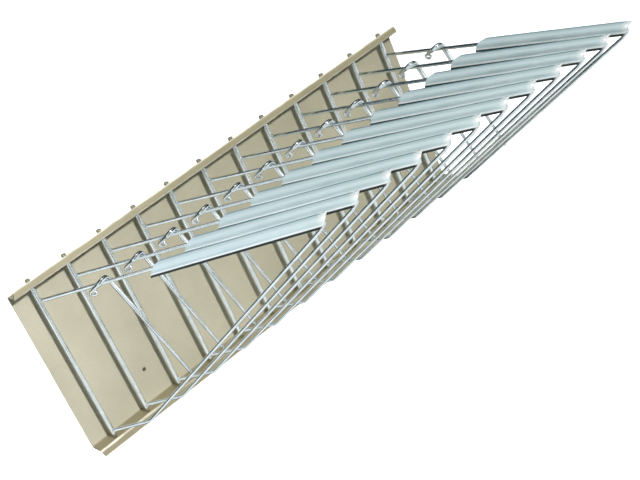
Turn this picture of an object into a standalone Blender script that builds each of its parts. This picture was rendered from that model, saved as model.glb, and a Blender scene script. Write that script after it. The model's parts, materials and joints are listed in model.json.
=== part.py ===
"""Hanging file rack: a wall panel in folded sheet carrying twelve swinging wire brackets.

Written in millimetres and scaled to metres when a mesh or curve is made.
"""
import math

import bmesh
import bpy
from mathutils import Matrix, Vector

NAME = "hanging_file_rack"
MM = 0.001

# Panel: +X along the wall, wall plane at Y = 0, room on the -Y side, Z = 0 at mid height
COUNT = 12
PITCH = 50.8
PANEL_WIDTH = COUNT * PITCH
PANEL_SHEET = 1.5
PANEL_HALF = 109.5
FLANGE_DEPTH = 22.0
LIP = 10.0
FOLD_RADIUS = 2.2
CORNER_CUT = 2.0
SCREW_HOLE_R = 2.6
SCREW_X = 4 * PITCH
SCREW_LOW = -67.5
SCREW_HIGH = 102.0
HOLE_DEPTH = 8.0

# Pivot rods: the top stands through the upper flange, a thinner pin through the lower one
ROD_R = 3.1
ROD_OUT = 15.5
ROD_TOP = 119.5
ROD_SHOULDER = -103.0
PIN_R = 2.0
PIN_END = -113.5
ROD_CHAMFER = 0.6
ROD_SIDES = 12
ROD_CLEARANCE = 0.45

# How far each bracket is swung from square to the wall, in degrees
SWING = (41.9, 40.3, 38.8, 36.6, 34.4, 32.1, 29.7, 27.2, 24.5, 21.6, 18.5, 15.3)

# Bracket wire; distances outwards are measured from the pivot axis
GAP = 0.3
ARM_LENGTH = 350.4
ARM_Z = 89.0
LOW_Z = -98.5
WIRE_R = 2.2
TIP_RADIUS = 3.5
NOSE_BACK = 15.0
NOSE_DROP = 13.0
NOSE_RADIUS = 8.0
KNEE_OUT = 0.145 * ARM_LENGTH
KNEE_RADIUS = 14.0
BEND_STEPS = 4

# Brace wire, beside the slope and the arm; it hooks over the arm and ends in an open loop
BRACE_R = 1.7
BRACE_SIDE = WIRE_R + BRACE_R + GAP
BRACE_TOP_OUT = 0.25 * ARM_LENGTH
BRACE_FOOT_OUT = 0.356 * ARM_LENGTH
BRACE_TAIL = 3.0
HOOK_RISE = 0.4
HOOK_NEAR = 1.6
HOOK_FAR = 4.5
HOOK_BENDS = (1.5, 1.8, 1.8, 4.0)
HOOK_STEPS = 2
LOOP_OUT = 67.5
LOOP_DROP = 6.6
LOOP_R = 3.0
LOOP_START = 113
LOOP_SWEEP = 250
LOOP_STEPS = 8

# Clamp channel: a thin sheet angle carried by the arm
CHANNEL_SHEET = 1.2
CHANNEL_START = 0.392 * ARM_LENGTH
CHANNEL_END = 0.996 * ARM_LENGTH
CHANNEL_BACK = 8.0
CHANNEL_FRONT = WIRE_R + 0.7 + CHANNEL_SHEET / 2
CHANNEL_TOP = WIRE_R + 2 * GAP + CHANNEL_SHEET / 2
CHANNEL_BEND = 3.4
CHANNEL_STEPS = 3
CHANNEL_DROP = 8.4
CHANNEL_HEM = 1.0
HEM_BEND = 0.8
START_SLANT = 14.5
END_SLANT = 9.0
END_CURVE = 1.5


def pivot_x(i):
    return (i - (COUNT - 1) / 2) * PITCH


def fillet(points, radii, steps):
    """Round the inner corners of an open path of 3-D points."""
    path = [Vector(p) for p in points]
    out = [path[0]]
    for before, here, after, radius in zip(path, path[1:], path[2:], radii):
        a = (before - here).normalized()
        b = (after - here).normalized()
        half = a.angle(b) / 2
        centre = here + (a + b).normalized() * (radius / math.sin(half))
        start = here + a * (radius / math.tan(half)) - centre
        end = here + b * (radius / math.tan(half)) - centre
        turn = start.angle(end)
        for k in range(steps + 1):
            first = math.sin((1 - k / steps) * turn) / math.sin(turn)
            second = math.sin(k / steps * turn) / math.sin(turn)
            out.append(centre + start * first + end * second)
    out.append(path[-1])
    return out


def material(name, colour, metallic, roughness):
    mat = bpy.data.materials.new(name)
    mat.use_nodes = True
    shader = mat.node_tree.nodes["Principled BSDF"]
    shader.inputs["Base Color"].default_value = (*colour, 1.0)
    shader.inputs["Metallic"].default_value = metallic
    shader.inputs["Roughness"].default_value = roughness
    mat.diffuse_color = (*colour, 1.0)
    return mat


def add_object(name, data, collection, mat=None):
    obj = bpy.data.objects.new(name, data)
    if mat:
        data.materials.append(mat)
    collection.objects.link(obj)
    return obj


def mesh_from(bm, name):
    mesh = bpy.data.meshes.new(name)
    bm.to_mesh(mesh)
    bm.free()
    return mesh


def punch(bm, radius, depth, place):
    """Add a capped round bar, centred on place, that cuts a hole."""
    bmesh.ops.create_cone(bm, cap_ends=True, segments=16, radius1=radius * MM, radius2=radius * MM,
                          depth=depth * MM, matrix=place)


def folded_sheet(name, profile, ends, thickness, collection, mat):
    """Sheet folded along its length: an open surface through the profile, made solid.

    profile is a list of 3-D points; each of the two functions in ends moves such a point to its
    place at one end of the sheet.
    """
    bm = bmesh.new()
    rows = [end(p) * MM for end in ends for p in profile]
    grid = bmesh.ops.create_grid(bm, x_segments=len(profile) - 1, y_segments=1)["verts"]
    for vert, place in zip(grid, rows):
        vert.co = place
    obj = add_object(name, mesh_from(bm, name), collection, mat)
    solid = obj.modifiers.new("sheet", "SOLIDIFY")
    solid.thickness = thickness * MM
    solid.offset = 0
    solid.use_even_offset = True
    return obj


def wire(name, path, radius, collection, mat):
    """Round wire through a path of points."""
    curve = bpy.data.curves.new(name, "CURVE")
    curve.dimensions = "3D"
    curve.bevel_depth = radius * MM
    curve.bevel_resolution = 2
    curve.use_fill_caps = True
    spline = curve.splines.new("POLY")
    spline.points.add(len(path) - 1)
    for point, place in zip(spline.points, path):
        point.co = (*(place * MM), 1.0)
    return add_object(name, curve, collection, mat)


def panel_profile():
    """Web against the wall, a flange above and below, and a lip turned away from the web on each."""
    middle = PANEL_SHEET / 2
    flange = PANEL_HALF - middle
    front = middle - FLANGE_DEPTH
    edge = PANEL_HALF - PANEL_SHEET + LIP
    corners = [(0, front, edge), (0, front, flange), (0, -middle, flange),
               (0, -middle, -flange), (0, front, -flange), (0, front, -edge)]
    return fillet(corners, [FOLD_RADIUS] * 4, BEND_STEPS)


def panel_end(side):
    """Panel end; the outer corners of the lips are cut back a little."""
    def place(p):
        cut = CORNER_CUT if abs(p.z) > PANEL_HALF + CORNER_CUT else 0
        return Vector((side * (PANEL_WIDTH / 2 - cut), p.y, p.z))
    return place


def build_panel(parts, cutters, mat):
    ends = (panel_end(-1), panel_end(1))
    panel = folded_sheet("back_panel", panel_profile(), ends, PANEL_SHEET, parts, mat)
    holes = bmesh.new()
    for i in range(COUNT):
        for z, radius in ((PANEL_HALF, ROD_R), (-PANEL_HALF, PIN_R)):
            spot = Vector((pivot_x(i), -ROD_OUT, z)) * MM
            punch(holes, radius + ROD_CLEARANCE, HOLE_DEPTH, Matrix.Translation(spot))
    for x in (-SCREW_X, SCREW_X):
        for z in (SCREW_LOW, SCREW_HIGH):
            through = Matrix.Translation((x * MM, 0, z * MM)) @ Matrix.Rotation(math.pi / 2, 4, "X")
            punch(holes, SCREW_HOLE_R, HOLE_DEPTH, through)
    cutter = add_object("panel_holes", mesh_from(holes, "panel_holes"), cutters)
    cutter.hide_render = True
    cutter.display_type = "WIRE"
    cut = panel.modifiers.new("holes", "BOOLEAN")
    cut.solver = "EXACT"
    cut.object = cutter


def build_rod(name, parts, mat):
    """Turned rod: its outline, from the top down, is swept round the pivot axis."""
    outline = [(0, ROD_TOP), (ROD_R - ROD_CHAMFER, ROD_TOP), (ROD_R, ROD_TOP - ROD_CHAMFER),
               (ROD_R, ROD_SHOULDER + ROD_CHAMFER), (ROD_R - ROD_CHAMFER, ROD_SHOULDER), (PIN_R, ROD_SHOULDER),
               (PIN_R, PIN_END + ROD_CHAMFER), (PIN_R - ROD_CHAMFER, PIN_END), (0, PIN_END)]
    bm = bmesh.new()
    verts = [bm.verts.new((radius * MM, 0, z * MM)) for radius, z in outline]
    for pair in zip(verts, verts[1:]):
        bm.edges.new(pair)
    rod = add_object(name, mesh_from(bm, name), parts, mat)
    turned = rod.modifiers.new("turned", "SCREW")
    turned.steps = turned.render_steps = ROD_SIDES
    turned.use_merge_vertices = True
    turned.merge_threshold = MM / 100
    return rod


def build_bracket_wire(name, parts, mat):
    """Arm, tip, slope and lower arm in one bent wire; outwards is -Y before the bracket is swung."""
    start = ROD_R + GAP
    corners = [(0, -start, ARM_Z), (0, -ARM_LENGTH, ARM_Z), (0, NOSE_BACK - ARM_LENGTH, ARM_Z - NOSE_DROP),
               (0, -KNEE_OUT, LOW_Z), (0, -start, LOW_Z)]
    return wire(name, fillet(corners, (TIP_RADIUS, NOSE_RADIUS, KNEE_RADIUS), BEND_STEPS), WIRE_R, parts, mat)


def hook_loop():
    """Open loop at the end of the hook, upright and beside the arm."""
    points = []
    for k in range(LOOP_STEPS + 1):
        turn = math.radians(LOOP_START + LOOP_SWEEP * k / LOOP_STEPS)
        points.append(Vector((-BRACE_SIDE, -LOOP_OUT - LOOP_R * math.cos(turn),
                              ARM_Z - LOOP_DROP + LOOP_R * math.sin(turn))))
    return points


def build_brace(name, parts, mat):
    slope = (ARM_Z - NOSE_DROP - LOW_Z) / (ARM_LENGTH - NOSE_BACK - KNEE_OUT)
    foot = Vector((BRACE_SIDE, -BRACE_FOOT_OUT, LOW_Z + (BRACE_FOOT_OUT - KNEE_OUT) * slope))
    top = Vector((BRACE_SIDE, -BRACE_TOP_OUT, ARM_Z + WIRE_R / 2))
    tail = foot - (top - foot).normalized() * BRACE_TAIL
    over = ARM_Z + BRACE_SIDE + HOOK_RISE
    corners = [tail, top, (BRACE_SIDE / 2, HOOK_NEAR - BRACE_TOP_OUT, over),
               (-BRACE_SIDE / 2, HOOK_FAR - BRACE_TOP_OUT, over),
               (-BRACE_SIDE, 2 * HOOK_FAR - BRACE_TOP_OUT, ARM_Z + WIRE_R)]
    hook = fillet(corners + hook_loop()[:1], HOOK_BENDS, HOOK_STEPS)
    return wire(name, hook[:-1] + hook_loop(), BRACE_R, parts, mat)


def channel_start(p):
    """Near end: cut on a slant, furthest back along the rear edge of the top."""
    rise = p.z - ARM_Z + CHANNEL_DROP + p.x + CHANNEL_FRONT
    share = rise / (CHANNEL_DROP + CHANNEL_TOP + CHANNEL_BACK + CHANNEL_FRONT)
    return Vector((p.x, -CHANNEL_START - START_SLANT * share, p.z))


def channel_end(p):
    """Far end: the front face sweeps back towards its lower edge."""
    share = max(0, (CHANNEL_TOP - p.z + ARM_Z) / (CHANNEL_TOP + CHANNEL_DROP))
    return Vector((p.x, -CHANNEL_END + END_SLANT * share ** END_CURVE, p.z))


def build_channel(name, parts, mat):
    corners = [(CHANNEL_BACK, 0, ARM_Z + CHANNEL_TOP), (-CHANNEL_FRONT, 0, ARM_Z + CHANNEL_TOP),
               (-CHANNEL_FRONT, 0, ARM_Z - CHANNEL_DROP), (CHANNEL_HEM - CHANNEL_FRONT, 0, ARM_Z - CHANNEL_DROP)]
    profile = fillet(corners, (CHANNEL_BEND, HEM_BEND), CHANNEL_STEPS)
    return folded_sheet(name, profile, (channel_start, channel_end), CHANNEL_SHEET, parts, mat)


def build_bracket(i, parts, mats):
    number = f"{i + 1:02d}"
    pieces = [
        build_rod("pivot_rod_" + number, parts, mats["rod"]),
        build_bracket_wire("bracket_wire_" + number, parts, mats["wire"]),
        build_brace("brace_hook_" + number, parts, mats["wire"]),
        build_channel("clamp_channel_" + number, parts, mats["channel"]),
    ]
    for piece in pieces:
        piece.location = Vector((pivot_x(i), -ROD_OUT, 0)) * MM
        piece.rotation_euler = (0, 0, math.radians(SWING[i]))


def main():
    for obj in list(bpy.data.objects):
        bpy.data.objects.remove(obj)
    parts = bpy.data.collections.new(NAME)
    cutters = bpy.data.collections.new("cutters")
    for collection in (parts, cutters):
        bpy.context.scene.collection.children.link(collection)
    paint = material("sand_powder_coat", (0.49, 0.475, 0.36), 0.0, 0.45)
    mats = {
        "rod": material("plated_rod", (0.72, 0.75, 0.76), 0.9, 0.25),
        "wire": material("plated_wire", (0.78, 0.82, 0.83), 0.95, 0.2),
        "channel": material("galvanised_sheet", (0.58, 0.68, 0.72), 0.45, 0.4),
    }
    build_panel(parts, cutters, paint)
    for i in range(COUNT):
        build_bracket(i, parts, mats)


main()
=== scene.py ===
"""Looks of the hanging file rack: a sand-coloured wall panel with twelve swinging wire brackets.

Shapes are written in millimetres and scaled to metres when a mesh is made.
"""
import json
import math

import bmesh
import bpy
from mathutils import Matrix, Vector, noise

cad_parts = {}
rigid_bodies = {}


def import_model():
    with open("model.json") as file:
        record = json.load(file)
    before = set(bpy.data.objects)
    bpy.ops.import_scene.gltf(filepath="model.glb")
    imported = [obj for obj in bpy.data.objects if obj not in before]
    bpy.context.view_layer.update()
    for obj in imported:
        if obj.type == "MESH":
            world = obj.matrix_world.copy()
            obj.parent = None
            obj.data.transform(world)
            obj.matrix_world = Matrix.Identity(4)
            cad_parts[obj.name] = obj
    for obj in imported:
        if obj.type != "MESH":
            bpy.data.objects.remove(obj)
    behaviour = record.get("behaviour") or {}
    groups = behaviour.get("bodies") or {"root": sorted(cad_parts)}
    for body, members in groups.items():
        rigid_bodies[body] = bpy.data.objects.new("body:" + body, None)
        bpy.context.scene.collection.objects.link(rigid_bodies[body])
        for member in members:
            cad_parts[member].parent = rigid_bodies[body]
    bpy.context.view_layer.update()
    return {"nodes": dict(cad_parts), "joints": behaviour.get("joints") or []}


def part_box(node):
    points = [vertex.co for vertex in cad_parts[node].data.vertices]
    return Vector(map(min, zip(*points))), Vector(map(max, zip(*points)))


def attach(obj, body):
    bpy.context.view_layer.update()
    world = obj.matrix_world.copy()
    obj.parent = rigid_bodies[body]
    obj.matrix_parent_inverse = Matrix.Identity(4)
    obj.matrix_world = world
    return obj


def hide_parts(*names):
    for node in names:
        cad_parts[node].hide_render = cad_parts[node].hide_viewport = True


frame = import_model()

MM = 0.001

# Panel
PANEL_SHEET = 1.5
PANEL_HALF = 109.5
FOLD_RADIUS = 2.2
CORNER_CUT = 2.0
ROD_HOLE_R = 3.55
PIN_HOLE_R = 2.45
SCREW_HOLE_R = 2.6
SCREW_X = 203.2
SCREW_LOW = -67.5
SCREW_HIGH = 102.0
PANEL_EDGE_ROUND = 0.25
PANEL_COLUMNS = 24
HOLE_SIDES = 32
CUTTER_DEPTH = 8.0
PLUG_DEPTH = 0.4
PLUG_TAPER = 0.15
PLUG_Y = -0.25
# Span along the panel over which the painted highlight on the lower flange fades out past the near end
NEAR_HIGHLIGHT_SPAN = (-260.0, -200.0)

# Pivot rods
ROD_R = 3.1
ROD_SHOULDER = -103.0
PIN_R = 2.0
ROD_CHAMFER = 0.7

# Bracket wire; distances outwards are measured from the pivot axis
ARM_LENGTH = 350.4
ARM_Z = 89.0
LOW_Z = -98.5
WIRE_R = 2.2
TIP_RADIUS = 3.5
NOSE_BACK = 15.0
NOSE_DROP = 13.0
NOSE_RADIUS = 8.0
KNEE_OUT = 0.145 * ARM_LENGTH
KNEE_RADIUS = 14.0
SLOPE_RISE = (ARM_Z - NOSE_DROP - LOW_Z) / (ARM_LENGTH - NOSE_BACK - KNEE_OUT)
GAP = 0.3

# Brace wire; it hooks over the arm, swells there, and ends in a nearly closed loop
BRACE_R = 1.7
BRACE_SIDE = WIRE_R + BRACE_R + GAP
BRACE_TOP_OUT = 0.25 * ARM_LENGTH
BRACE_FOOT_OUT = 0.356 * ARM_LENGTH
BRACE_TAIL = 3.0
HOOK_RISE = 0.4
HOOK_NEAR = 1.6
HOOK_FAR = 4.5
HOOK_BENDS = (1.5, 1.8, 1.8, 4.0)
HOOK_BEND_STEPS = 6
HOOK_SWELL = 1.8
SWELL_HEIGHT = 12
LOOP_OUT = 67.5
LOOP_DROP = 6.6
LOOP_R = 2.8
LOOP_STRETCH = 1.4
LOOP_WIRE_R = 1.6
LOOP_END_R = 0.8 * LOOP_WIRE_R
LOOP_START = 113
LOOP_SWEEP = 335
LOOP_STEPS = 28

# Clamp channel
CHANNEL_SHEET = 1.2
CHANNEL_START = 0.392 * ARM_LENGTH
CHANNEL_END = 0.996 * ARM_LENGTH
CHANNEL_BACK = 8.0
CHANNEL_FRONT = WIRE_R + 0.7 + CHANNEL_SHEET / 2
CHANNEL_TOP = WIRE_R + 2 * GAP + CHANNEL_SHEET / 2
CHANNEL_DROP = 8.4
CHANNEL_SKIRT = 0.4
CHANNEL_BENDS = (4.5, 0.5, 0.3, 0.3, 0.2)
CHANNEL_BEND_STEPS = 8
CHANNEL_FACET = 1.5
CHANNEL_COLUMNS = 48
CHANNEL_EDGE_ROUND = 0.2
BEAD_DROP = 4.8
BEAD_OUT = 0.5
BEAD_FLAT = 0.5
BEAD_FOOT = 0.9
STEP_IN = 0.4
START_SLANT = 14.5
END_SLANT = 9.0
END_CURVE = 1.5
PALE_TIP = 11.0

# Welds
COLLAR_STEPS = 7
COLLAR_FLARE = 1.0
COLLAR_LENGTH = 2.6
COLLAR_LUMPS = 0.5
COLLAR_SUNK = 0.15
NUGGET_LUMPS = 0.16
NUGGET_SUNK = 0.4

# Smoothness
WIRE_SIDES = 20
ROD_SIDES = 40
BEND_STEPS = 12
CUT_STEPS = 3
SHARP_ANGLE = 45
BEVEL_ANGLE = 40

# Tones, linear RGB; a pair is the dark and the light end of a mottle
SAND = ((0.432, 0.404, 0.284), (0.545, 0.510, 0.370))
SAND_FLECKS = ((0.86, 0.86, 0.85), (1.0, 1.0, 1.0))
# Painted shade: tint that makes the lips darker than the web
SAND_LIP_SHADE = (0.80, 0.77, 0.68)
# Painted shade on the lower flange, where the wires shade it
SAND_FLANGE_SHADE = (0.52, 0.49, 0.39)
# Painted highlight: paler tone on the folds and the lips' outer edges
SAND_EDGE_HIGHLIGHT = (0.80, 0.76, 0.58)
ROD_PLATE = ((0.72, 0.77, 0.78), (0.86, 0.90, 0.90))
# Painted shade on the rods' upper ends, dull olive
ROD_TOP_SHADE = ((0.22, 0.21, 0.15), (0.33, 0.31, 0.22))
WIRE_PLATE = ((0.72, 0.79, 0.81), (0.88, 0.92, 0.93))
DRAWING_LINES = ((0.82, 0.84, 0.85), (1.0, 1.0, 1.0))
WELD_PLATE = ((0.42, 0.47, 0.49), (0.74, 0.79, 0.80))
SHEET = ((0.57, 0.68, 0.70), (0.69, 0.80, 0.81))
SHEET_STREAKS = ((0.78, 0.83, 0.85), (1.0, 1.0, 1.0))
# Painted shade: tone of the channel's top, set apart from the front for how the light falls on it
SHEET_TOP_SHADE = (0.50, 0.61, 0.62)
# Painted shadow: dark line along the rear of the channel's top, the shaded gap to the next strip
SHEET_REAR_SHADE = (0.17, 0.30, 0.34)
# Painted highlight on the channel's bead
SHEET_BEAD_HIGHLIGHT = (0.97, 0.99, 0.98)
# Painted shade: near-black tone for the shadowed lower edge of the channel
SHEET_LOWER_SHADE = ((0.012, 0.020, 0.018), (0.030, 0.046, 0.042))
SHEET_TIP = (0.93, 0.95, 0.93)
WALL_SHADOW = ((0.040, 0.040, 0.026), (0.075, 0.072, 0.048))
FLOOR = ((0.90, 0.90, 0.90), (0.93, 0.93, 0.93))

# Studio; places in metres
KEY_PLACE = (-0.20, -2.27, 1.45)
POOL_AIM = (-0.36, 0, 0)
POOL_COLOUR = (0.80, 0.80, 1.0)
WINDOW_COLOUR = (0.93, 0.98, 1.0)
GLINT_COLOUR = (0.97, 1.0, 1.0)
ROOM = ((0.045, 0.052, 0.052), (0.04, 0.06, 0.07))
WHITE = (1.0, 1.0, 1.0)
FLOOR_RADIUS = 9.0
FLOOR_Z = -1.0

# Camera
CAMERA_PLACE = (-0.7453, -1.4944, 0.7278)
CAMERA_TURN = (61.898, 21.739, -40.116)
CAMERA_LENS = 82.9
CAMERA_SHIFT = (-0.0055, 0.0342)

PANEL_LOW, PANEL_HIGH = (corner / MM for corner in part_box("back_panel"))


# ---------------------------------------------------------------- shape tools

def fillet(points, radii, steps=BEND_STEPS):
    """Round the inner corners of an open path of 3-D points."""
    path = [Vector(p) for p in points]
    out = [path[0]]
    for before, here, after, radius in zip(path, path[1:], path[2:], radii):
        a = (before - here).normalized()
        b = (after - here).normalized()
        half = a.angle(b) / 2
        centre = here + (a + b).normalized() * (radius / math.sin(half))
        start = here + a * (radius / math.tan(half)) - centre
        end = here + b * (radius / math.tan(half)) - centre
        turn = start.angle(end)
        for k in range(steps + 1):
            first = math.sin((1 - k / steps) * turn) / math.sin(turn)
            second = math.sin(k / steps * turn) / math.sin(turn)
            out.append(centre + start * first + end * second)
    out.append(path[-1])
    return out


def mesh_from(bm, name):
    """Smooth mesh that keeps its sharp edges; it uses the bmesh up."""
    mesh = bpy.data.meshes.new(name)
    bmesh.ops.recalc_face_normals(bm, faces=bm.faces)
    bm.to_mesh(mesh)
    bm.free()
    mesh.shade_smooth()
    mesh.set_sharp_from_angle(angle=math.radians(SHARP_ANGLE))
    return mesh


def add_object(name, mesh, mat=None):
    obj = bpy.data.objects.new(name, mesh)
    if mat:
        mesh.materials.append(mat)
    bpy.context.scene.collection.objects.link(obj)
    return obj


def applied(obj):
    """The mesh of an object with its modifiers applied; the object is removed."""
    evaluated = obj.evaluated_get(bpy.context.evaluated_depsgraph_get())
    mesh = bpy.data.meshes.new_from_object(evaluated)
    bpy.data.objects.remove(obj)
    return mesh


def across(path):
    """Two unit directions across the path at each point, carried along without twisting."""
    ahead = [(b - a).normalized() for a, b in zip(path, path[1:])]
    tangents = [ahead[0]] + [(a + b).normalized() for a, b in zip(ahead, ahead[1:])] + [ahead[-1]]
    side = tangents[0].orthogonal().normalized()
    out = []
    for before, tangent in zip(tangents[:1] + tangents, tangents):
        side = before.rotation_difference(tangent) @ side
        side = (side - tangent * side.dot(tangent)).normalized()
        out.append((side, tangent.cross(side)))
    return out


def full_turn(sides):
    """Evenly spaced angles round a circle."""
    return [2 * math.pi * k / sides for k in range(sides)]


def skin(name, rings, grain=None):
    """Closed surface through rings of points, with a lengthwise grain stored on it."""
    bm = bmesh.new()
    rows = [[bm.verts.new(point * MM) for point in ring] for ring in rings]
    for low, high in zip(rows, rows[1:]):
        for k in range(len(low)):
            bm.faces.new((low[k - 1], low[k], high[k], high[k - 1]))
    for cap in (rows[0], rows[-1]):
        bm.faces.new(cap)
    mesh = mesh_from(bm, name)
    if grain:
        layer = mesh.attributes.new("grain", "FLOAT_VECTOR", "POINT")
        layer.data.foreach_set("vector", [value * MM for point in grain for value in point])
    return mesh


def tube(name, path, radii):
    """Round bar swept along a path."""
    rings = []
    grain = []
    travelled = 0.0
    previous = path[0]
    for centre, radius, (side, up) in zip(path, radii, across(path)):
        travelled += (centre - previous).length
        previous = centre
        turns = full_turn(WIRE_SIDES)
        rings.append([centre + (side * math.cos(t) + up * math.sin(t)) * radius for t in turns])
        grain += [(math.cos(t) * radius, math.sin(t) * radius, travelled) for t in turns]
    return skin(name, rings, grain)


def sheared(path, radius):
    """Path and radii of a wire whose cut end is slightly rounded over."""
    back = (path[0] - path[1]).normalized()
    round_over = 0.25 * radius
    extra = []
    radii = []
    for k in range(CUT_STEPS):
        turn = math.pi / 2 * k / CUT_STEPS
        extra.append(path[0] + back * (round_over * math.cos(turn)))
        radii.append(radius - round_over * (1 - math.sin(turn)))
    return extra + path, radii + [radius] * len(path)


def lathe(name, profile, sides):
    """Upright turned bar from a list of radius and height pairs."""
    rings = []
    grain = []
    for radius, height in profile:
        turns = full_turn(sides)
        rings.append([Vector((radius * math.cos(t), radius * math.sin(t), height)) for t in turns])
        grain += [(radius * math.cos(t), radius * math.sin(t), height) for t in turns]
    return skin(name, rings, grain)


def folded_sheet(name, rows, thickness):
    """Sheet made solid round an open surface, given as rows of points."""
    bm = bmesh.new()
    grid = [[bm.verts.new(point * MM) for point in row] for row in rows]
    for low, high in zip(grid, grid[1:]):
        for k in range(1, len(low)):
            bm.faces.new((low[k - 1], low[k], high[k], high[k - 1]))
    obj = add_object(name, mesh_from(bm, name))
    solid = obj.modifiers.new("sheet", "SOLIDIFY")
    solid.thickness = thickness * MM
    solid.offset = 0
    solid.use_even_offset = True
    return obj


def round_edges(obj, width):
    """Soften the sharp edges so that they catch the light."""
    soft = obj.modifiers.new("edges", "BEVEL")
    soft.width = width * MM
    soft.segments = 2
    soft.limit_method = "ANGLE"
    soft.angle_limit = math.radians(BEVEL_ANGLE)
    soft.harden_normals = True


# ---------------------------------------------------------------- materials

def add_node(tree, kind, inputs=None, **settings):
    node = tree.nodes.new("ShaderNode" + kind)
    for key, value in settings.items():
        setattr(node, key, value)
    for socket, value in (inputs or {}).items():
        if isinstance(value, bpy.types.NodeSocket):
            tree.links.new(value, node.inputs[socket])
        else:
            node.inputs[socket].default_value = value
    return node


def noise_field(tree, vector, scale, detail=3.0, stretch=(1, 1, 1)):
    placed = add_node(tree, "Mapping", {"Vector": vector, "Scale": stretch}).outputs["Vector"]
    field = add_node(tree, "TexNoise", {"Vector": placed, "Scale": scale, "Detail": detail})
    return field.outputs["Fac"]


def ramp(tree, value, stops):
    node = add_node(tree, "ValToRGB", {"Fac": value})
    elements = node.color_ramp.elements
    while len(elements) < len(stops):
        elements.new(0.5)
    for element, (position, colour) in zip(elements, stops):
        element.position = position
        element.color = (*colour, 1.0)
    return node.outputs["Color"]


def mottled(tree, value, limits, tones):
    """Colour that runs from the first tone to the second while the value goes through the limits."""
    return ramp(tree, value, list(zip(limits, tones)))


def remap(tree, value, low, high, new_low, new_high):
    node = add_node(tree, "MapRange", {"Value": value, "From Min": low, "From Max": high,
                                       "To Min": new_low, "To Max": new_high})
    return node.outputs["Result"]


def fade(tree, distance, start, end, new_low=0.0, new_high=1.0):
    """Change from new_low to new_high between two places, given in millimetres."""
    return remap(tree, distance, start * MM, end * MM, new_low, new_high)


def product(tree, first, second):
    return add_node(tree, "Math", {0: first, 1: second}, operation="MULTIPLY").outputs[0]


def blend_values(tree, factor, first, second):
    return add_node(tree, "Mix", {0: factor, 2: first, 3: second}).outputs[0]


def blend_colours(tree, factor, first, second, mode="MIX"):
    """Mix two colours; the second one is either a socket or a plain RGB tone."""
    node = add_node(tree, "Mix", {0: factor}, data_type="RGBA", blend_type=mode)
    tree.links.new(first, node.inputs[6])
    if isinstance(second, bpy.types.NodeSocket):
        tree.links.new(second, node.inputs[7])
    else:
        node.inputs[7].default_value = (*second, 1.0)
    return node.outputs[2]


def tint(tree, first, second, factor=1.0):
    return blend_colours(tree, factor, first, second, "MULTIPLY")


def bump(tree, height, distance, strength, under=None):
    inputs = {"Height": height, "Distance": distance, "Strength": strength}
    if under:
        inputs["Normal"] = under
    return add_node(tree, "Bump", inputs).outputs["Normal"]


def new_material(name):
    mat = bpy.data.materials.new(name)
    mat.use_nodes = True
    return mat, mat.node_tree, mat.node_tree.nodes["Principled BSDF"]


def powder_coat():
    """Satin powder coat with fine orange peel, clouds and specks.

    It is paler along the folds and the lips' edges by a painted highlight, in patches and weaker on the
    lower flange past the near end; painted shade darkens the lips and the lower flange.
    """
    mat, tree, shader = new_material("sand_powder_coat")
    place = add_node(tree, "TexCoord").outputs["Object"]
    cloud = noise_field(tree, place, scale=9.0, detail=4.0)
    speck = noise_field(tree, place, scale=1500.0, detail=2.0)
    mottle_tone = mottled(tree, cloud, (0.3, 0.7), SAND)
    coat = tint(tree, mottle_tone, mottled(tree, speck, (0.35, 0.62), SAND_FLECKS))

    parts = add_node(tree, "SeparateXYZ", {"Vector": place}).outputs
    level = add_node(tree, "Math", {0: parts["Z"]}, operation="ABSOLUTE").outputs[0]
    # Painted highlight, in patches: paler tone on the front folds of the flanges and on the lips' outer
    # edges
    rim = fade(tree, level, PANEL_HIGH.z - 1.4, PANEL_HIGH.z - 0.7)
    flange = fade(tree, level, PANEL_HALF - 2.6, PANEL_HALF - 1.4)
    before_lip = fade(tree, level, PANEL_HALF + 0.3, PANEL_HALF + 1.2, 1.0, 0.0)
    front = fade(tree, parts["Y"], PANEL_LOW.y + 2.6, PANEL_LOW.y + 1.4)
    fold = product(tree, product(tree, flange, before_lip), front)
    edge = add_node(tree, "Math", {0: fold, 1: rim}, operation="MAXIMUM").outputs[0]
    patchy = remap(tree, noise_field(tree, place, scale=55.0, detail=4.0), 0.35, 0.6, 0.45, 1.0)

    # On the lower flange past the near end, the painted highlight is cut to a third
    lowest = fade(tree, parts["Z"], 3.5 - PANEL_HALF, 1.8 - PANEL_HALF)
    past_near_end = fade(tree, parts["X"], *NEAR_HIGHLIGHT_SPAN)
    highlight_share = remap(tree, product(tree, lowest, past_near_end), 0.0, 1.0, 1.0, 0.3)
    edge_highlight = product(tree, product(tree, edge, patchy), highlight_share)
    # Painted shade on the lower flange from the wires; only a quarter of it reaches the lower lip's face
    above_lip = fade(tree, parts["Z"], -0.6 - PANEL_HALF, -1.6 - PANEL_HALF, 1.0, 0.25)
    flange_shade = product(tree, lowest, above_lip)

    # Painted shade: the lips are tinted darker than the web
    shaded_coat = tint(tree, tint(tree, coat, SAND_LIP_SHADE, front), SAND_FLANGE_SHADE, flange_shade)
    tree.links.new(blend_colours(tree, edge_highlight, shaded_coat, SAND_EDGE_HIGHLIGHT), shader.inputs["Base Color"])

    smudge = noise_field(tree, place, scale=28.0, detail=5.0)
    tree.links.new(remap(tree, smudge, 0.3, 0.7, 0.36, 0.48), shader.inputs["Roughness"])
    wave = bump(tree, noise_field(tree, place, scale=11.0, detail=1.0), distance=0.002, strength=0.5)
    peel = noise_field(tree, place, scale=700.0, detail=2.0)
    skin_bump = bump(tree, peel, distance=0.00025, strength=0.55, under=wave)
    tree.links.new(skin_bump, shader.inputs["Normal"])
    return mat


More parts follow.
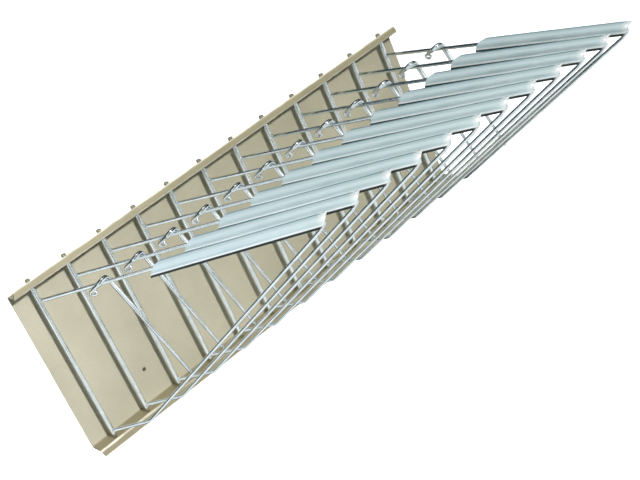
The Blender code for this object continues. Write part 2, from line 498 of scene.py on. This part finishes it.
def plated(name, tones, roughness):
    """Bright zinc plate over drawn wire: lengthwise drawing lines and a soft mottle."""
    mat, tree, shader = new_material(name)
    place = add_node(tree, "Attribute", attribute_name="grain").outputs["Vector"]
    mottle = noise_field(tree, place, scale=60.0, detail=4.0)
    drawn = noise_field(tree, place, scale=900.0, detail=3.0, stretch=(1, 1, 0.02))
    plate = mottled(tree, mottle, (0.32, 0.66), tones)
    lines = mottled(tree, drawn, (0.3, 0.6), DRAWING_LINES)
    tree.links.new(tint(tree, plate, lines), shader.inputs["Base Color"])
    shader.inputs["Metallic"].default_value = 1.0
    tree.links.new(remap(tree, mottle, 0.3, 0.7, *roughness), shader.inputs["Roughness"])
    scored = bump(tree, drawn, distance=0.00006, strength=0.5)
    uneven = bump(tree, mottle, distance=0.0002, strength=0.25, under=scored)
    tree.links.new(uneven, shader.inputs["Normal"])
    return mat


def rod_metal():
    """Plated rod; its upper end has painted shade, a dull olive tint, and is less metallic there."""
    mat = plated("plated_rod", ROD_PLATE, roughness=(0.18, 0.26))
    tree = mat.node_tree
    shader = tree.nodes["Principled BSDF"]
    place = add_node(tree, "TexCoord").outputs["Object"]
    height = add_node(tree, "SeparateXYZ", {"Vector": place}).outputs["Z"]
    # Painted shade: above the flange the rod's end is tinted dull olive and made less metallic
    end = fade(tree, height, PANEL_HALF, PANEL_HALF + 2)
    metal = shader.inputs["Base Color"].links[0].from_socket
    mottle_tone = mottled(tree, noise_field(tree, place, scale=1200.0), (0.35, 0.65), ROD_TOP_SHADE)
    tree.links.new(blend_colours(tree, end, metal, mottle_tone), shader.inputs["Base Color"])
    tree.links.new(remap(tree, end, 0.0, 1.0, 1.0, 0.2), shader.inputs["Metallic"])
    return mat


def weld_metal():
    """Plated weld: rippled, duller than the wire and a little darker in its hollows."""
    mat, tree, shader = new_material("plated_weld")
    place = add_node(tree, "TexCoord").outputs["Object"]
    ripple = noise_field(tree, place, scale=700.0, detail=4.0)
    tree.links.new(mottled(tree, ripple, (0.3, 0.65), WELD_PLATE), shader.inputs["Base Color"])
    shader.inputs["Metallic"].default_value = 1.0
    tree.links.new(remap(tree, ripple, 0.3, 0.7, 0.42, 0.26), shader.inputs["Roughness"])
    tree.links.new(bump(tree, ripple, distance=0.0005, strength=0.6), shader.inputs["Normal"])
    return mat


def clamp_sheet():
    """Pale blue-grey satin sheet with long rolling streaks, painted shade on the top and a painted
    shadow line at the rear.

    On the front, a painted highlight lies on the raised bead and painted shade on the lower edge below
    it; the far tip is pale in patches.
    """
    mat, tree, shader = new_material("galvanised_sheet")
    place = add_node(tree, "TexCoord").outputs["Object"]
    parts = add_node(tree, "SeparateXYZ", {"Vector": place}).outputs
    height = parts["Z"]
    streak = noise_field(tree, place, scale=260.0, detail=4.0, stretch=(1, 0.02, 1))
    cloud = noise_field(tree, place, scale=22.0, detail=4.0)
    zinc = mottled(tree, cloud, (0.3, 0.7), SHEET)
    face = tint(tree, zinc, mottled(tree, streak, (0.3, 0.62), SHEET_STREAKS))
    # Painted shade on the channel's top, which takes its own tone for how the light falls there
    top_shade = fade(tree, height, ARM_Z, ARM_Z + CHANNEL_TOP)
    sheet = blend_colours(tree, top_shade, face, SHEET_TOP_SHADE)
    # Painted shadow along the rear edge of the top
    rear = fade(tree, parts["X"], CHANNEL_BACK - 3.6, CHANNEL_BACK - 2.2)
    sheet = blend_colours(tree, rear, sheet, SHEET_REAR_SHADE)

    # Painted highlight on the bead
    bead = ARM_Z - BEAD_DROP
    on_bead = fade(tree, height, bead + BEAD_FOOT, bead + BEAD_FLAT)
    sheet = blend_colours(tree, on_bead, sheet, SHEET_BEAD_HIGHLIGHT)
    # Painted shade below the bead: the lower edge is near-black, matte and not metallic
    below = fade(tree, height, bead - BEAD_FLAT, bead - BEAD_FOOT)
    sheet = blend_colours(tree, below, sheet, mottled(tree, streak, (0.3, 0.7), SHEET_LOWER_SHADE))
    crease = noise_field(tree, place, scale=420.0, detail=3.0, stretch=(1, 0.5, 1))
    tip = fade(tree, parts["Y"], PALE_TIP - CHANNEL_END, 0.3 * PALE_TIP - CHANNEL_END)
    pale = product(tree, tip, remap(tree, crease, 0.38, 0.52, 0.15, 1.0))
    tree.links.new(blend_colours(tree, pale, sheet, SHEET_TIP), shader.inputs["Base Color"])

    metallic = fade(tree, height, ARM_Z - 1, ARM_Z + CHANNEL_TOP, 0.45, 0.15)
    tree.links.new(blend_values(tree, below, metallic, 0.0), shader.inputs["Metallic"])
    satin = remap(tree, cloud, 0.3, 0.7, 0.34, 0.46)
    tree.links.new(blend_values(tree, below, satin, 0.8), shader.inputs["Roughness"])
    rolled = bump(tree, streak, distance=0.00008, strength=0.5)
    uneven = bump(tree, cloud, distance=0.0008, strength=0.25, under=rolled)
    tree.links.new(uneven, shader.inputs["Normal"])
    return mat


def wall_shadow():
    """Dull dark olive, a little mottled."""
    mat, tree, shader = new_material("wall_shadow")
    place = add_node(tree, "TexCoord").outputs["Object"]
    mottle = noise_field(tree, place, scale=900.0)
    tree.links.new(mottled(tree, mottle, (0.35, 0.65), WALL_SHADOW), shader.inputs["Base Color"])
    tree.links.new(remap(tree, mottle, 0.3, 0.7, 0.8, 0.95), shader.inputs["Roughness"])
    tree.links.new(bump(tree, mottle, distance=0.0001, strength=0.4), shader.inputs["Normal"])
    return mat


def pale_floor():
    mat, tree, shader = new_material("studio_floor")
    place = add_node(tree, "TexCoord").outputs["Object"]
    cloud = noise_field(tree, place, scale=2.0)
    tree.links.new(mottled(tree, cloud, (0.3, 0.7), FLOOR), shader.inputs["Base Color"])
    shader.inputs["Roughness"].default_value = 0.9
    return mat


# ---------------------------------------------------------------- the panel

def panel_rows():
    """Web against the wall, a flange above and below, and a lip turned away from the web on each."""
    middle = PANEL_SHEET / 2
    flange = PANEL_HALF - middle
    front = PANEL_LOW.y + middle
    corners = [(0, front, PANEL_HIGH.z), (0, front, flange), (0, -middle, flange),
               (0, -middle, -flange), (0, front, -flange), (0, front, PANEL_LOW.z)]
    rows = []
    for k in range(PANEL_COLUMNS + 1):
        share = 2 * k / PANEL_COLUMNS - 1
        row = []
        for p in fillet(corners, [FOLD_RADIUS] * 4):
            cut = CORNER_CUT if abs(p.z) > PANEL_HALF + CORNER_CUT else 0
            row.append(Vector((share * (PANEL_HIGH.x - cut), p.y, p.z)))
        rows.append(row)
    return rows


def screw_places(y):
    """The four screw holes, each as a matrix whose local Z goes through the panel."""
    upright = Matrix.Rotation(math.pi / 2, 4, "X")
    return [Matrix.Translation(Vector((x, y, z)) * MM) @ upright
            for x in (-SCREW_X, SCREW_X) for z in (SCREW_LOW, SCREW_HIGH)]


def add_cylinder(bm, place, radius, end_radius, depth):
    bmesh.ops.create_cone(bm, cap_ends=True, segments=HOLE_SIDES, radius1=radius * MM,
                          radius2=end_radius * MM, depth=depth * MM, matrix=place)


def hole_cutter(pivots):
    """One object with a cylinder for every rod, pin and screw hole."""
    bm = bmesh.new()
    for pivot in pivots:
        for z, radius in ((PANEL_HALF, ROD_HOLE_R), (-PANEL_HALF, PIN_HOLE_R)):
            place = Matrix.Translation(Vector((pivot.x, pivot.y, z * MM)))
            add_cylinder(bm, place, radius, radius, CUTTER_DEPTH)
    for place in screw_places(0):
        add_cylinder(bm, place, SCREW_HOLE_R, SCREW_HOLE_R, CUTTER_DEPTH)
    return add_object("panel_hole_cutter", mesh_from(bm, "panel_hole_cutter"))


def hole_shade(mat):
    """Dark plugs deep in the screw holes: the unlit wall that shows through them."""
    bm = bmesh.new()
    for place in screw_places(PLUG_Y):
        add_cylinder(bm, place, SCREW_HOLE_R, SCREW_HOLE_R - PLUG_TAPER, PLUG_DEPTH)
    shade = add_object("screw_hole_shade", mesh_from(bm, "screw_hole_shade"), mat)
    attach(shade, "panel")


def build_panel(pivots, mat):
    sheet = folded_sheet("panel_sheet", panel_rows(), PANEL_SHEET)
    cutter = hole_cutter(pivots)
    cut = sheet.modifiers.new("holes", "BOOLEAN")
    cut.solver = "EXACT"
    cut.object = cutter
    round_edges(sheet, PANEL_EDGE_ROUND)
    panel = add_object("wall_panel", applied(sheet), mat)
    bpy.data.objects.remove(cutter)
    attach(panel, "panel")
    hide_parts("back_panel")


# ---------------------------------------------------------------- one bracket

def rod_mesh(low, high):
    """Rod with rounded ends; below its shoulder a thinner pin goes through the lower flange."""
    top = [
        (ROD_R * 0.1, high),
        (ROD_R - ROD_CHAMFER * 1.5, high - 0.1),
        (ROD_R - ROD_CHAMFER * 0.6, high - 0.35),
        (ROD_R - 0.1, high - ROD_CHAMFER),
        (ROD_R, high - ROD_CHAMFER * 1.6),
    ]
    shoulder = [
        (ROD_R, ROD_SHOULDER + 0.8),
        (ROD_R - 0.12, ROD_SHOULDER + 0.35),
        (ROD_R - 0.5, ROD_SHOULDER + 0.05),
        (PIN_R + 0.3, ROD_SHOULDER),
        (PIN_R, ROD_SHOULDER - 0.3),
    ]
    pin = [(PIN_R, low + 0.6), (PIN_R - 0.15, low + 0.2), (PIN_R - 0.6, low), (PIN_R * 0.1, low)]
    return lathe("pivot_rod", top + shoulder + pin, ROD_SIDES)


def wire_mesh():
    """Arm, rounded tip, slope, knee and lower arm in one bent wire."""
    corners = [(0, -1, ARM_Z), (0, -ARM_LENGTH, ARM_Z), (0, NOSE_BACK - ARM_LENGTH, ARM_Z - NOSE_DROP),
               (0, -KNEE_OUT, LOW_Z), (0, -1, LOW_Z)]
    path = fillet(corners, (TIP_RADIUS, NOSE_RADIUS, KNEE_RADIUS))
    return tube("bracket_wire", path, [WIRE_R] * len(path))


def brace_line():
    """Foot and top of the straight part of the brace, and the direction up it."""
    foot = Vector((BRACE_SIDE, -BRACE_FOOT_OUT, LOW_Z + (BRACE_FOOT_OUT - KNEE_OUT) * SLOPE_RISE))
    top = Vector((BRACE_SIDE, -BRACE_TOP_OUT, ARM_Z + WIRE_R / 2))
    return foot, top, (top - foot).normalized()


def hook_loop():
    """Nearly closed loop at the end of the hook, upright and beside the arm, longer than it is high."""
    points = []
    for k in range(LOOP_STEPS + 1):
        turn = math.radians(LOOP_START + LOOP_SWEEP * k / LOOP_STEPS)
        points.append(Vector((-BRACE_SIDE, -LOOP_OUT - LOOP_R * LOOP_STRETCH * math.cos(turn),
                              ARM_Z - LOOP_DROP + LOOP_R * math.sin(turn))))
    return points


def brace_mesh():
    """Straight wire up to the arm, over it as a thicker hook, and down to the loop."""
    foot, top, up = brace_line()
    over = ARM_Z + BRACE_SIDE + HOOK_RISE
    corners = [foot - up * BRACE_TAIL, top, (BRACE_SIDE / 2, HOOK_NEAR - BRACE_TOP_OUT, over),
               (-BRACE_SIDE / 2, HOOK_FAR - BRACE_TOP_OUT, over),
               (-BRACE_SIDE, 2 * HOOK_FAR - BRACE_TOP_OUT, ARM_Z + WIRE_R)]
    loop = hook_loop()
    hook = fillet(corners + loop[:1], HOOK_BENDS, HOOK_BEND_STEPS)
    path, radii = sheared(hook[:-1] + loop, BRACE_R)
    for k, point in enumerate(path):
        swell = min(1.0, max(0.0, (point.z - ARM_Z + SWELL_HEIGHT) / SWELL_HEIGHT))
        radii[k] *= 1 + (HOOK_SWELL - 1) * swell
    radii[-len(loop):] = [LOOP_WIRE_R] * (len(loop) - 1) + [LOOP_END_R]
    return tube("brace_hook", path, radii)


def channel_profile():
    """Flat top behind the arm, soft bend, front face with a raised bead, and recessed lower edge."""
    front = -CHANNEL_FRONT
    bead = ARM_Z - BEAD_DROP
    corners = [(CHANNEL_BACK, 0, ARM_Z + CHANNEL_TOP), (front, 0, ARM_Z + CHANNEL_TOP),
               (front, 0, bead + BEAD_FOOT), (front - BEAD_OUT, 0, bead + BEAD_FLAT),
               (front - BEAD_OUT, 0, bead - BEAD_FLAT), (front + STEP_IN, 0, bead - BEAD_FOOT),
               (front + STEP_IN, 0, ARM_Z - CHANNEL_DROP - CHANNEL_SKIRT)]
    bends = fillet(corners, CHANNEL_BENDS, CHANNEL_BEND_STEPS)
    profile = []
    for a, b in zip(bends, bends[1:]):
        steps = max(1, round((b - a).length / CHANNEL_FACET))
        profile += [a.lerp(b, k / steps) for k in range(steps)]
    return profile + bends[-1:]


def channel_mesh():
    """Clamp channel: the near end is cut on a slant, the far end sweeps back towards its lower edge."""
    height = CHANNEL_DROP + CHANNEL_TOP
    rows = []
    for k in range(CHANNEL_COLUMNS + 1):
        row = []
        for p in channel_profile():
            rise = p.z - ARM_Z + CHANNEL_DROP
            share = (rise + max(0.0, p.x + CHANNEL_FRONT)) / (height + CHANNEL_BACK + CHANNEL_FRONT)
            start = CHANNEL_START + START_SLANT * share
            end = CHANNEL_END - END_SLANT * max(0.0, 1 - rise / height) ** END_CURVE
            row.append(Vector((p.x, -(start + (end - start) * k / CHANNEL_COLUMNS), p.z)))
        rows.append(row)
    sheet = folded_sheet("clamp_channel_sheet", rows, CHANNEL_SHEET)
    round_edges(sheet, CHANNEL_EDGE_ROUND)
    return applied(sheet)


def weld_collar(z, seed):
    """Weld bead where a wire meets the pivot rod: it flares from the wire on to the rod."""
    rows = []
    for k in range(COLLAR_STEPS + 1):
        share = k / COLLAR_STEPS
        ring = []
        for turn in full_turn(WIRE_SIDES):
            lump = noise.noise(Vector((math.cos(turn) * 1.3, math.sin(turn) * 1.3, seed + share * 1.5)))
            radius = WIRE_R * 0.98 + (COLLAR_FLARE + COLLAR_LUMPS * lump) * (1 - share) ** 2
            aside = max(-ROD_R * 0.94, min(ROD_R * 0.94, radius * math.cos(turn)))
            near = math.sqrt(ROD_R ** 2 - aside ** 2) - COLLAR_SUNK
            far = ROD_R + COLLAR_LENGTH + COLLAR_LUMPS * lump
            ring.append(Vector((aside, -(near + (far - near) * share), z + radius * math.sin(turn))))
        rows.append(ring)
    return skin("weld", rows)


def weld_nugget(centre, along, size, seed):
    """Weld bead between two wires lying side by side in X."""
    sideways = Vector((1, 0, 0))
    third = along.cross(sideways)
    bm = bmesh.new()
    bmesh.ops.create_icosphere(bm, subdivisions=3, radius=1.0)
    for vert in bm.verts:
        co = vert.co * (1 + NUGGET_LUMPS * noise.noise(vert.co * 1.8 + Vector((seed, 0, 0))))
        offset = along * (co.x * size[0]) + sideways * (co.y * size[1]) + third * (co.z * size[2])
        vert.co = (centre + offset) * MM
    return mesh_from(bm, "weld")


def join_meshes(name, meshes):
    bm = bmesh.new()
    for mesh in meshes:
        bm.from_mesh(mesh)
        bpy.data.meshes.remove(mesh)
    return mesh_from(bm, name)


def bracket_welds():
    """Arm and lower arm to the rod, and the brace to the slope and to the arm."""
    foot, top, _ = brace_line()
    half_way = Vector((BRACE_SIDE / 2, 0, 0))
    down_slope = Vector((0, -1, SLOPE_RISE)).normalized()
    sunk = Vector((0, 0, -NUGGET_SUNK))
    return join_meshes("bracket_welds", [
        weld_collar(ARM_Z, seed=1.0),
        weld_collar(LOW_Z, seed=5.0),
        weld_nugget(foot - half_way, down_slope, size=(3.4, 1.5, 1.7), seed=2.0),
        weld_nugget(top - half_way + sunk, Vector((0, -1, 0)), size=(2.8, 1.4, 1.5), seed=8.0),
    ])


def bracket_place(joint, number):
    """Where a bracket stands: its pivot, turned so that local -Y runs along the arm."""
    pivot = Vector(joint["pos_m"])
    verts = frame["nodes"]["bracket_wire_" + number].data.vertices
    middle = sum((v.co for v in verts), Vector()) / len(verts)
    out = middle - pivot
    return Matrix.Translation(pivot) @ Matrix.Rotation(math.atan2(out.x, -out.y), 4, "Z")


def build_brackets(mats):
    """Twelve copies of one bracket's meshes, each set where its CAD bracket stands."""
    low, high = (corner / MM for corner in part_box("pivot_rod_01"))
    shapes = {
        "pivot_rod": (rod_mesh(low.z, high.z), "plated_rod"),
        "bracket_wire": (wire_mesh(), "plated_wire"),
        "brace_hook": (brace_mesh(), "plated_wire"),
        "clamp_channel": (channel_mesh(), "galvanised_sheet"),
    }
    welds = bracket_welds()
    for mesh, slot in shapes.values():
        mesh.materials.clear()
        mesh.materials.append(mats[slot])
    welds.materials.append(mats["plated_weld"])
    for joint in frame["joints"]:
        body = joint["child"]
        number = body.split("_")[-1]
        place = bracket_place(joint, number)
        for kind, (mesh, slot) in shapes.items():
            piece = add_object(f"{kind}_look_{number}", mesh.copy())
            piece.matrix_world = place
            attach(piece, body)
            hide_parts(f"{kind}_{number}")
        bead = add_object("welds_" + number, welds.copy())
        bead.matrix_world = place
        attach(bead, body)


# ---------------------------------------------------------------- studio

def area_light(name, place, aim, size, power, colour=WHITE, mirrored=True, lighting=True):
    """Softbox. If not mirrored, it doesn't show in reflections; if not lighting, it shows only there."""
    data = bpy.data.lights.new(name, "AREA")
    data.shape = "RECTANGLE"
    data.size, data.size_y = size
    data.energy = power
    data.color = colour
    lamp = bpy.data.objects.new(name, data)
    lamp.location = place
    lamp.rotation_euler = (Vector(aim) - Vector(place)).to_track_quat("-Z", "Y").to_euler()
    lamp.visible_camera = False
    lamp.visible_glossy = mirrored
    lamp.visible_diffuse = lighting
    bpy.context.scene.collection.objects.link(lamp)
    return lamp


def light_floor(floor):
    """Even light on the floor alone, which keeps it white without a shadow."""
    data = bpy.data.lights.new("floor_light", "SUN")
    data.energy = 3.8
    data.use_shadow = False
    lamp = bpy.data.objects.new("floor_light", data)
    bpy.context.scene.collection.objects.link(lamp)
    lit = bpy.data.collections.new("lit_floor")
    lit.objects.link(floor)
    lamp.light_linking.receiver_collection = lit


def near_end_pool():
    """Soft pool of extra light on the near end of the panel, from where the key light stands."""
    data = bpy.data.lights.new("pool", "SPOT")
    data.energy = 140
    data.color = POOL_COLOUR
    data.spot_size = math.radians(17)
    data.spot_blend = 1.0
    data.shadow_soft_size = 0.12
    lamp = bpy.data.objects.new("pool", data)
    lamp.location = KEY_PLACE
    lamp.rotation_euler = (Vector(POOL_AIM) - lamp.location).to_track_quat("-Z", "Y").to_euler()
    lamp.visible_glossy = False
    bpy.context.scene.collection.objects.link(lamp)
    return lamp


def shade_by_rods_only(lamps):
    """Let nothing but the panel and the pivot rods throw shadows from these lamps."""
    blockers = bpy.data.collections.new("shadow_makers")
    for obj in bpy.context.scene.objects:
        if obj.name == "wall_panel" or obj.name.startswith("pivot_rod_look"):
            blockers.objects.link(obj)
    for lamp in lamps:
        lamp.light_linking.blocker_collection = blockers


def studio_world():
    """Dim room, bluish beyond the wall; seen directly it is white."""
    world = bpy.data.worlds.new("studio")
    world.use_nodes = True
    tree = world.node_tree
    background = tree.nodes["Background"]
    heading = add_node(tree, "TexCoord").outputs["Generated"]
    parts = add_node(tree, "SeparateXYZ", {"Vector": heading}).outputs
    beyond = remap(tree, parts["Y"], -0.35, 0.25, 0.0, 1.0)
    sky = mottled(tree, beyond, (0.0, 1.0), ROOM)
    direct = add_node(tree, "LightPath").outputs["Is Camera Ray"]
    tree.links.new(blend_colours(tree, direct, sky, WHITE), background.inputs["Color"])
    background.inputs["Strength"].default_value = 1.0
    bpy.context.scene.world = world


def build_studio():
    """Floor, room and lamps."""
    bm = bmesh.new()
    bmesh.ops.create_circle(bm, cap_ends=True, segments=96, radius=FLOOR_RADIUS)
    floor = add_object("floor", mesh_from(bm, "floor"), pale_floor())
    floor.location = (0, 0, FLOOR_Z)
    floor.visible_diffuse = False
    floor.visible_glossy = False
    studio_world()
    key = area_light("key", KEY_PLACE, aim=(0, -0.05, 0), size=(0.24, 0.24), power=61)
    area_light("window", (-2.57, -0.9, 0.5), aim=(0, -0.1, 0.2), size=(2.0, 2.9), power=19,
               colour=WINDOW_COLOUR)
    area_light("rear", (0.6, 2.8, 0.9), aim=(0, 0, 0), size=(2.5, 2.0), power=78, mirrored=False)
    area_light("far_side", (2.4, -1.3, -0.2), aim=(0, 0, 0), size=(2.4, 1.8), power=12,
               colour=GLINT_COLOUR, lighting=False)
    area_light("top", (-0.3, -0.5, 2.2), aim=(0, -0.2, 0), size=(2.4, 1.6), power=17)
    light_floor(floor)
    shade_by_rods_only([key, near_end_pool()])
    area_light("front", (0.5, -4.2, -0.15), aim=(0, 0, 0), size=(4.6, 1.1), power=26,
               colour=GLINT_COLOUR, lighting=False)
    area_light("table", (-0.8, -1.7, FLOOR_Z + 0.02), aim=(-0.8, -1.7, 1), size=(5.0, 3.6), power=50,
               colour=GLINT_COLOUR, lighting=False)


def build_camera():
    data = bpy.data.cameras.new("camera")
    data.lens = CAMERA_LENS
    data.shift_x, data.shift_y = CAMERA_SHIFT
    camera = bpy.data.objects.new("camera", data)
    camera.location = CAMERA_PLACE
    camera.rotation_euler = [math.radians(turn) for turn in CAMERA_TURN]
    bpy.context.scene.collection.objects.link(camera)
    bpy.context.scene.camera = camera


mats = {
    "plated_rod": rod_metal(),
    "plated_wire": plated("plated_wire", WIRE_PLATE, roughness=(0.13, 0.21)),
    "galvanised_sheet": clamp_sheet(),
    "plated_weld": weld_metal(),
}
build_camera()
build_panel([Vector(joint["pos_m"]) for joint in frame["joints"]], powder_coat())
hole_shade(wall_shadow())
build_brackets(mats)
build_studio()
bpy.context.scene.view_settings.view_transform = "Standard"
